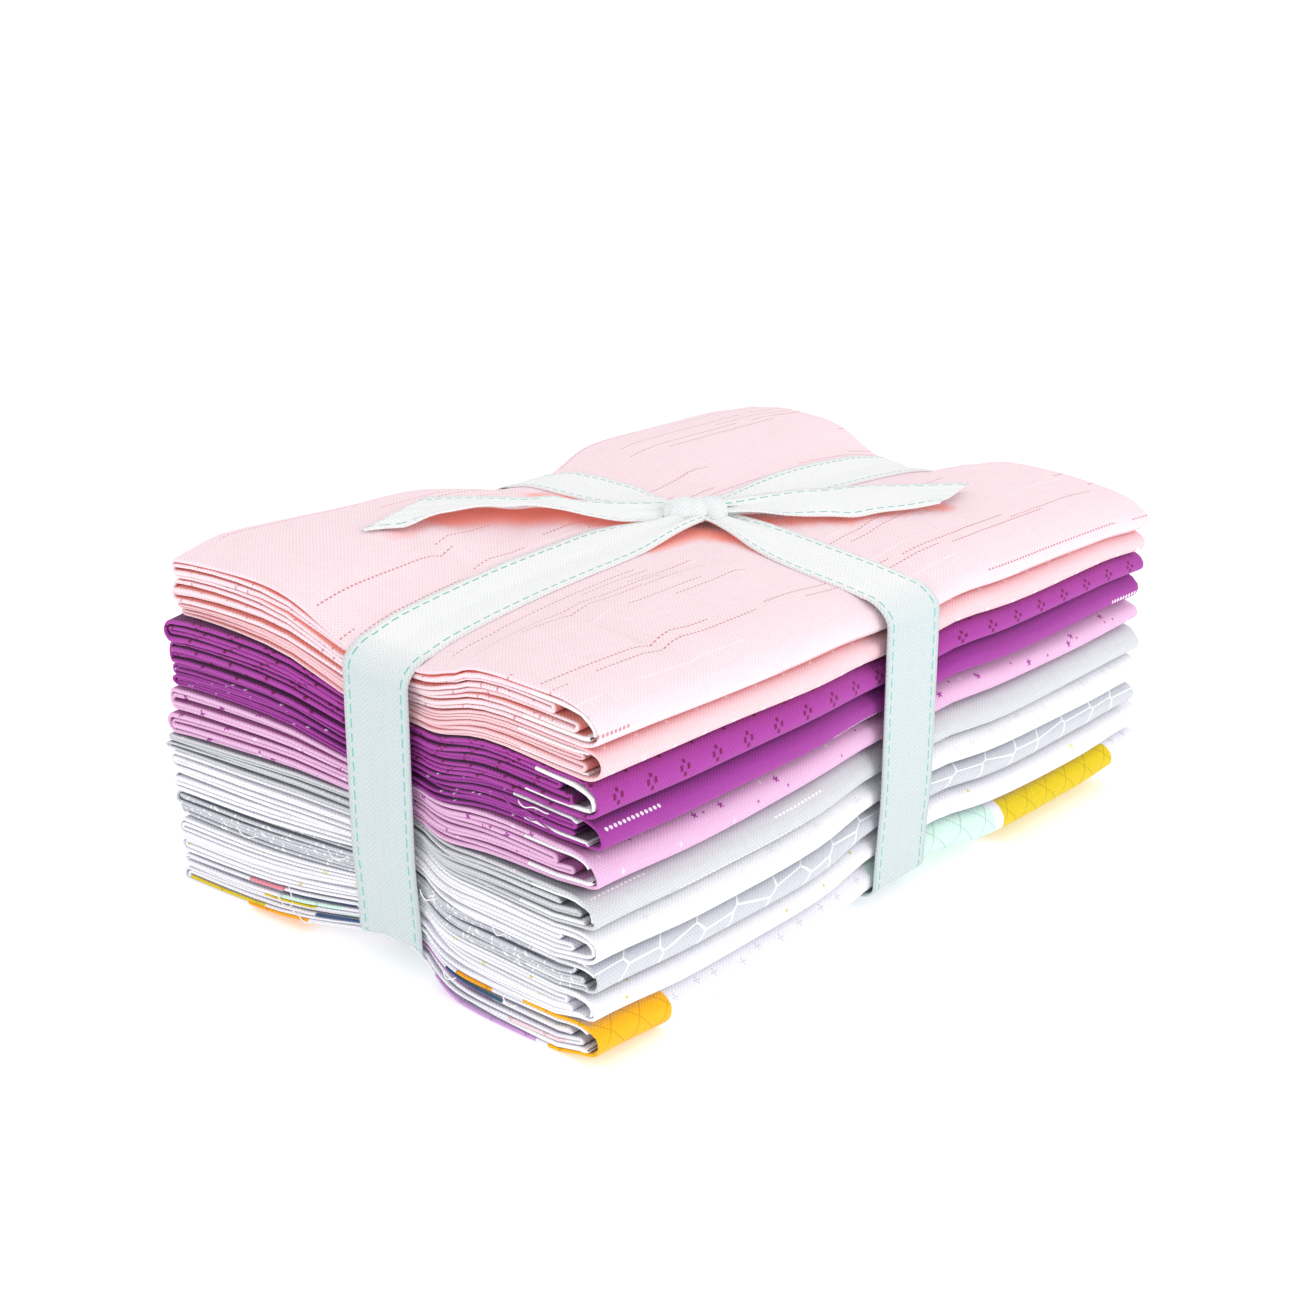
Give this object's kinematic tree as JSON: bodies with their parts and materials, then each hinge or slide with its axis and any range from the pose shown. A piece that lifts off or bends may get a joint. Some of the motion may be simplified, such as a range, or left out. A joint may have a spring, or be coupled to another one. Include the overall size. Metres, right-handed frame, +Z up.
{
  "type": "tied stack of folded cotton fabric",
  "caption": "Stack of folded cotton fabric cuts, tied crosswise with a flat ribbon that is knotted on top and leaves two free ends.",
  "frame": {"origin": "middle of the stack in plan, on the surface that it rests on", "axes": "+X along the folded cloths, from their open ends to the ends away from the viewer; +Y across them, away from the large folds; +Z up through the knot"},
  "size_m": [0.2308, 0.1484, 0.0966],
  "materials": {
    "cotton_pink": "matt printed plain-weave cotton",
    "cotton_blush": "matt printed plain-weave cotton",
    "cotton_diamond_purple": "matt printed plain-weave cotton",
    "cotton_dotted_purple": "matt printed plain-weave cotton",
    "cotton_lilac": "matt printed plain-weave cotton",
    "cotton_dash_grey": "matt printed plain-weave cotton",
    "cotton_white": "matt printed plain-weave cotton",
    "cotton_net_grey": "matt printed plain-weave cotton",
    "cotton_flecked": "matt printed plain-weave cotton",
    "cotton_spotted": "matt printed plain-weave cotton",
    "ribbon_twill": "matt herringbone twill tape with a dashed line along each edge"
  },
  "bodies": {
    "root": {"cloth_pink": "cotton_pink", "cloth_blush": "cotton_blush", "cloth_diamond_purple": "cotton_diamond_purple", "cloth_dotted_purple": "cotton_dotted_purple", "cloth_lilac": "cotton_lilac", "cloth_dash_grey": "cotton_dash_grey", "cloth_white": "cotton_white", "cloth_net_grey": "cotton_net_grey", "cloth_flecked": "cotton_flecked", "cloth_spotted": "cotton_spotted", "ribbon": "ribbon_twill"}
  },
  "joints": []
}
